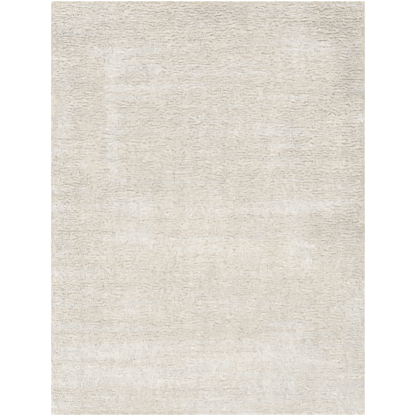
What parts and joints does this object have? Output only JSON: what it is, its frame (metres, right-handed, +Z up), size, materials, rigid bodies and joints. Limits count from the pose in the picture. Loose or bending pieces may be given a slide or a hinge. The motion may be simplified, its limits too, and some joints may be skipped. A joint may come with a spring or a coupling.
{
  "type": "shag rug",
  "caption": "Large rectangular shag rug lying flat: an uneven cream pile on a woven ground, with short locks round its rim.",
  "frame": {"origin": "centre of the rug's flat underside, on the floor", "axes": "+Z up out of the pile, +Y along the rug's length towards its head end, +X across it to the right"},
  "size_m": [2.366, 3.12, 0.035],
  "materials": {
    "pile_yarn": "matt shaggy cream pile with a faint beige mottle"
  },
  "bodies": {
    "root": {"shag_rug": "pile_yarn"}
  },
  "joints": []
}
